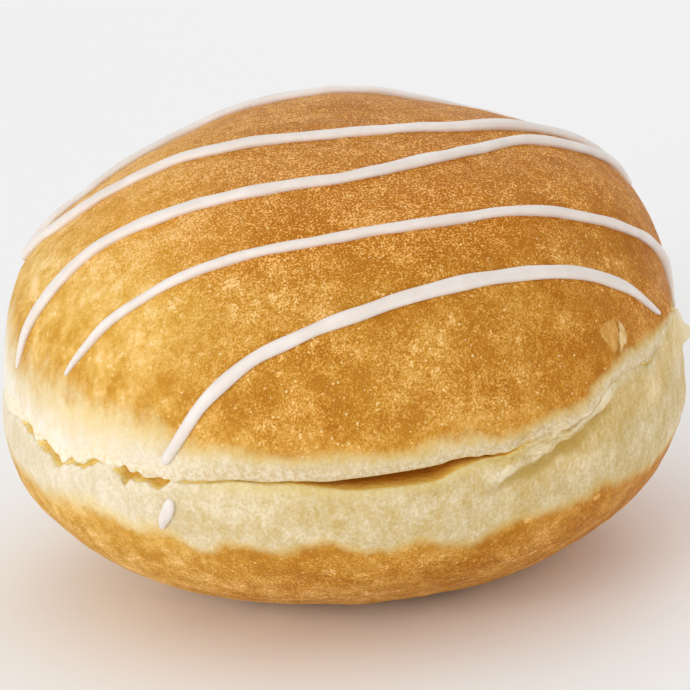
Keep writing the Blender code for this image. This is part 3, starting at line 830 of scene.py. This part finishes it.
def crust_tone(s, near_edge, left, high_left):
    """How light the grainy crust is, from 0 to 1 in the tones' tables."""
    fine = s.noise("grain")
    calm_left = s.product(left, s.up("calm"))
    grain = s.total(2.2, (left, -0.7), (calm_left, -0.7), (s.up("grainy"), 3.3), (near_edge, -0.9))
    under = s.up("underside")
    blotches = s.total(0.0, (s.noise("blotches"), 1.0), (s.noise("blotch patches"), 0.4), (fine, 0.25))
    streaks = s.product(left, s.noise("streaks"))
    blisters = s.product(under, spots(s, "blisters"))
    clusters = s.product(spots(s, "clusters"), s.ramp(fine, 0.36, 0.62))
    return s.total(
        -0.975, (s.product(s.maths("SUBTRACT", fine, 0.5), grain), 1.0), (s.noise("speckle"), 0.75),
        (s.noise("mottling"), 1.0), (s.noise("clouds"), 0.9), (s.across("darker right", smooth=False), -0.08),
        (under, 0.22), (s.up("top"), -0.04), (s.ramp(blotches, 0.93, 1.08), 0.35), (high_left, 0.16),
        (clusters, 0.6), (blisters, 0.5), (streaks, 1.2), (left, -0.62))


def crust_colour(s, inside):
    """Golden to deep brown: paler at the left, deeper to the right and at the top, with pale grain and
    painted highlight glints.
    """
    near_edge = s.ramp(inside, 0.5, 4.5, 1.0, 0.0)
    left = s.across("paler left")
    high_left = s.product(left, s.up("high"))
    tone = crust_tone(s, near_edge, left, high_left)
    pale = s.total(-0.12, (left, 0.5), (high_left, 0.6), (s.noise("pale patches"), 0.6), (near_edge, 0.12))
    pale = s.maths("MULTIPLY_ADD", s.up("underside"), -0.3, pale, clamp=True)
    colour = s.mix(pale, s.colours(tone, CRUST_TONES), s.colours(tone, PALE_CRUST_TONES))
    deep = s.total(0.0, (s.across("deeper right"), 0.75), (s.up("top"), 0.9))
    colour = s.deepen(deep, colour, DEEP_CRUST)
    colour = s.deepen(s.across("ruddy right"), colour, RUDDY_CRUST)
    # Painted highlights: tiny glints of light, scattered in patches
    glint_highlights = s.product(spots(s, "glint_highlights"), s.ramp(s.noise("glint patches"), 0.36, 0.54))
    return s.mix(s.product(glint_highlights, 0.75), colour, GLINT_HIGHLIGHT)


def plain_waist_colour(s, above, folds, left):
    """Cream, faintly fibrous, whiter at the left and at the crumbly upper lip."""
    tone = s.total(
        -1.07, (s.noise("waist fibres"), 1.1), (s.noise("waist mottling"), 0.95),
        (s.noise("waist clouds"), 1.2), (s.across("waist yellower", smooth=False), -0.12),
        (s.across("waist light right"), 0.15), (s.ramp(folds, 0.1, 0.5), 0.25))
    white = s.product(left, s.ramp(above, -1.0, 1.0, 0.3, 0.7))
    colour = s.mix(white, s.colours(tone, WAIST_TONES), WHITE_WAIST)
    lip = s.product(s.ramp(above, 0.0, 0.3), s.ramp(above, 1.2, 3.0, 0.85, 0.0))
    crumbs = s.ramp(s.noise("lip crumbs"), 0.40, 0.60)
    return s.mix(lip, colour, s.mix(left, s.mix(crumbs, *LIP_CRUMBS), s.mix(crumbs, *WHITE_LIP_CRUMBS)))


def waist_colour(s, above, folds, rope):
    """The plain waist with painted shade under its step, in its fold grooves, in its wrinkles and in a hollow
    at the right; with its flap, pale strips and a few specks.
    """
    left = s.across("waist whiter left")
    colour = plain_waist_colour(s, above, folds, left)
    # Painted shade just below the crease, where its upper lip steps out
    step = s.product(s.ramp(above, 0.1, -0.2), s.ramp(above, -2.2, -0.5, 0.0, 0.5),
                     s.across("step shade start"), s.across("step shade end"))
    colour = s.mix(step, colour, STEP_SHADE)
    # Painted shade in the grooves of the folds, deeper where the groove is deeper
    colour = s.mix(s.ramp(folds, -0.15, -0.65, 0.0, 0.65), colour, GROOVE_SHADE)
    colour = s.mix(s.ramp(folds, 0.2, 0.6, 0.0, 0.5), colour, STRIP)
    # Painted shade in the hollows of the rope's fine wrinkles, where its bumps are low
    wrinkle_shade = s.product(s.ramp(rope, 0.48, 0.40), s.ramp(s.value("wrinkled"), 0.2, 0.8, 0.0, 0.6))
    colour = s.mix(wrinkle_shade, colour, WRINKLE_SHADE)
    colour = s.mix(s.product(s.across("flap"), s.up("flap")), colour, FLAP)
    colour = s.deepen(s.across("waist deeper right", 0.0, 0.6), colour, DEEP_WAIST)
    # Painted shade in a hollow a few millimetres below the crease at the right
    hollow_shade = s.product(s.ramp(above, -0.3, -2.0), s.ramp(above, -8.0, -4.0), s.across("hollow_shade"))
    colour = s.deepen(hollow_shade, colour, HOLLOW_SHADE)
    near_speck = s.maths("SUBTRACT", SPECK_RADIUS, s.cells(SPECK_CELLS, 9)["Distance"])
    return s.mix(s.ramp(near_speck, 0.0, SPECK_EDGE, 0.0, 0.6), colour, SPECK)


def flake_side(s, across, up, corners):
    """How far a point is inside a shape with these corners, in millimetres, with an uneven edge."""
    middle = np.mean(corners, axis=0)
    inside = None
    for (x0, y0), (x1, y1) in zip(corners, corners[1:] + corners[:1]):
        inward = np.array([-(y1 - y0), x1 - x0]) / np.hypot(x1 - x0, y1 - y0)
        if inward @ (middle - (x0, y0)) < 0:
            inward = -inward
        edge = s.total(-inward @ np.array([x0, y0]), (across, inward[0]), (up, inward[1]))
        inside = edge if inside is None else s.maths("MINIMUM", inside, edge)
    return s.total(-0.3, (inside, 1.0), (s.noise("flake edge"), 0.7))


def flake_shares(s, middle):
    """How much of the flake's left part, right part and crack shows at each point."""
    outward = Vector(direction(*FLAKE_AT))
    east = Vector((0, 0, 1)).cross(outward).normalized()
    north = outward.cross(east)
    point = Vector(skin(*FLAKE_AT)) * MILLIMETRE + middle
    off = s.add("ShaderNodeVectorMath", {0: s.place, 1: point}, operation="SUBTRACT").outputs[0]
    across, up = (s.add("ShaderNodeVectorMath", {0: off, 1: axis / MILLIMETRE}, operation="DOT_PRODUCT")
                  .outputs["Value"] for axis in (east, north))
    far = s.add("ShaderNodeVectorMath", {0: off}, operation="LENGTH").outputs["Value"]
    near = s.ramp(far, FLAKE_FAR * MILLIMETRE, FLAKE_NEAR * MILLIMETRE)
    return [s.product(near, s.ramp(flake_side(s, across, up, corners), -0.15, 0.25))
            for corners in (FLAKE_LEFT, FLAKE_RIGHT, FLAKE_CRACK)]


def flake_colour(s, colour, shares):
    """The lifted flake: a golden left part, a paler right part and a dark crack between them."""
    left, right, crack = shares
    streaks = s.noise("flake streaks")
    golden, paler = FLAKE_COLOURS
    colour = s.mix(s.product(crack, 0.6), colour, CRACK)
    colour = s.mix(s.product(left, 0.75), colour, s.mix(s.ramp(streaks, 0.4, 0.65), *golden))
    return s.mix(s.product(right, 0.8), colour, s.mix(s.ramp(streaks, 0.4, 0.6), *paler))


def torn_colour_and_shade(s, colour):
    """Inside the torn crease: yellow crumb at its edges, made bright as painted glow, darkening with painted
    shade to golden brown in its depth.
    """
    depth = s.value("crease_depth")
    # Painted shade: the colour turns golden brown deeper in the crease, and more so in the front slit
    slit_shade = s.product(s.across("slit shade start"), s.across("slit shade end"), s.ramp(depth, 0.25, 0.55))
    crumbs = s.product(s.maths("SUBTRACT", s.noise("torn crumbs"), 0.5), s.ramp(depth, 0.25, 0.7))
    torn = s.total(0.0, (depth, 1.0), (crumbs, 2.8), (slit_shade, 1.2))
    for start, end, share, shade in TORN_COLOURS_AND_SHADE:
        colour = s.mix(s.ramp(torn, start, end, 0.0, share), colour, shade)
    return colour


def dough_colour(s, crust, inside, rope, flake):
    """The waist, the yellow rim and the crust over it, the flake, and the inside of the crease."""
    pale = waist_colour(s, s.value("above_crease"), s.value("folds"), rope)
    left = s.product(s.across("rim left"), s.across("rim past the edge", 0.15, 1.0))
    rim_share = s.ramp(inside, s.total(-1.9, (left, -1.6)), -0.1, 0.0, 0.75)
    rim = s.mix(rim_share, pale, s.mix(left, *RIM_COLOURS))
    colour = s.mix(crust, rim, crust_colour(s, inside))
    return torn_colour_and_shade(s, flake_colour(s, colour, flake))


def dough_material(middle):
    s = Shader("fried_dough")
    # The border of the crust wanders and is mottled
    inside = s.total(-1.9, (s.value("browning"), 1.0), (s.noise("border waves"), 2.2),
                     (s.noise("border mottling"), 1.6))
    crust = s.ramp(inside, -0.9, 1.0)
    rope = s.lines(s.product(s.value("above_crease"), 1 / ROPE_WIDTH),
                   s.product(s.x, 1 / MILLIMETRE / ROPE_LENGTH))
    flake = flake_shares(s, middle)
    rough = s.ramp(s.noise("dough gloss"), 0.3, 0.7, 0.55, 0.71)
    uneven = s.product(s.noise("dough bumps"), s.ramp(crust, 0.0, 1.0, 2.0, 1.3))
    normal = s.bump(s.noise("grain"), GRAIN_BUMP)
    normal = s.bump(uneven, SKIN_BUMP, normal)
    normal = s.bump(s.product(rope, s.value("wrinkled")), WRINKLE_BUMP, normal)
    normal = s.bump(s.maths("ADD", *flake[:2]), FLAKE_BUMP, normal)
    return s.set_surface({"Base Color": dough_colour(s, crust, inside, rope, flake),
                     "Roughness": s.total(rough, (crust, -0.15)), "Normal": normal, **DOUGH_SURFACE})


def icing_material():
    s = Shader("white_icing")
    return s.set_surface({"Base Color": s.mix(s.ramp(s.noise("icing shade"), 0.3, 0.7), *ICING_COLOURS),
                     "Roughness": s.ramp(s.noise("icing gloss"), 0.3, 0.7, 0.34, 0.46),
                     "Normal": s.bump(s.noise("icing bumps"), ICING_BUMP), **ICING_SURFACE})


def floor_material():
    return Shader("pale_floor").set_surface(FLOOR_SURFACE)


# Camera: the photograph's angle, with its slight roll
CAMERA_DISTANCE = 0.55
CAMERA_ELEVATION = 18.0
CAMERA_ROLL = 5.0
CAMERA_LENS = 223.9
CAMERA_SENSOR = 36.0
AIM_RIGHT, AIM_BACK, AIM_UP = 0.68, 1.48, 4.56

# Soft square lights: name, place and size in metres, and power in watts
LIGHTS = [
    ("key", (-0.62, -0.68, 0.30), 0.45, 3.0),
    ("fill", (0.60, -0.70, 0.36), 0.45, 0.5),
    ("back", (0.25, 0.75, 0.65), 0.5, 0.9),
]
LIGHTS_AIM = (0, 0, 0.03)
FLOOR_HALF = 4.0
ROOM_COLOUR = (1.0, 1.0, 1.0, 1.0)
ROOM_STRENGTH = 0.76


def add_camera(middle):
    data = bpy.data.cameras.new("camera")
    data.lens = CAMERA_LENS
    data.sensor_width = CAMERA_SENSOR
    camera = bpy.data.objects.new("camera", data)
    bpy.context.scene.collection.objects.link(camera)
    rise = np.radians(CAMERA_ELEVATION)
    camera.location = middle + Vector((0, -np.cos(rise), np.sin(rise))) * CAMERA_DISTANCE
    target = middle + Vector((AIM_RIGHT, AIM_BACK, AIM_UP)) * MILLIMETRE
    facing = (target - camera.location).to_track_quat("-Z", "Y").to_matrix()
    camera.rotation_euler = (facing @ Matrix.Rotation(-np.radians(CAMERA_ROLL), 3, "Z")).to_euler()
    bpy.context.scene.camera = camera


def add_area_light(name, location, size, power):
    data = bpy.data.lights.new(name, "AREA")
    data.shape = "SQUARE"
    data.size = size
    data.energy = power
    light = bpy.data.objects.new(name, data)
    light.location = location
    light.rotation_euler = (Vector(LIGHTS_AIM) - Vector(location)).to_track_quat("-Z", "Y").to_euler()
    bpy.context.scene.collection.objects.link(light)


def add_floor():
    data = bpy.data.meshes.new("floor")
    corners = [(-1, -1), (1, -1), (1, 1), (-1, 1)]
    data.from_pydata([(FLOOR_HALF * x, FLOOR_HALF * y, 0) for x, y in corners], [], [(0, 1, 2, 3)])
    floor = bpy.data.objects.new("floor", data)
    bpy.context.scene.collection.objects.link(floor)
    data.materials.append(floor_material())


def add_studio():
    """A pale floor, a soft key from the left, weaker lights at right and back, and a white room."""
    add_floor()
    for light in LIGHTS:
        add_area_light(*light)
    world = bpy.data.worlds.new("room")
    world.use_nodes = True
    background = world.node_tree.nodes["Background"]
    background.inputs["Color"].default_value = ROOM_COLOUR
    background.inputs["Strength"].default_value = ROOM_STRENGTH
    bpy.context.scene.world = world
    bpy.context.scene.view_settings.view_transform = "Standard"


def build_strands():
    """The strands in their order and the drip, each with a seed of its own."""
    strands = [build_strand(f"icing_strand_{number}", *strand, seed=STRAND_SEED + STRAND_SEED_STEP * number)
               for number, strand in enumerate(STRANDS, 1)]
    return strands + [build_strand("icing_drip", *DRIP, seed=DRIP_SEED)]


def shift_to_model(pieces):
    """How far the pieces move so that they rest, and are centred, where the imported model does."""
    points = np.concatenate([[v.co for v in piece.data.vertices] for piece in pieces])
    middle = (points.min(0) + points.max(0)) / 2
    cad_middle = (CAD_LOW + CAD_HIGH) / 2
    return Vector((cad_middle.x - middle[0], cad_middle.y - middle[1],
                   CAD_LOW.z + REST_DEPTH * MILLIMETRE))


def main():
    dough = build_dough()
    strands = build_strands()
    shift = shift_to_model([dough] + strands)
    dough.data.materials.append(dough_material(shift))
    icing = icing_material()
    for piece in [dough] + strands:
        place(piece, shift)
    for strand in strands:
        strand.data.materials.append(icing)
    add_camera(shift)
    add_studio()


main()
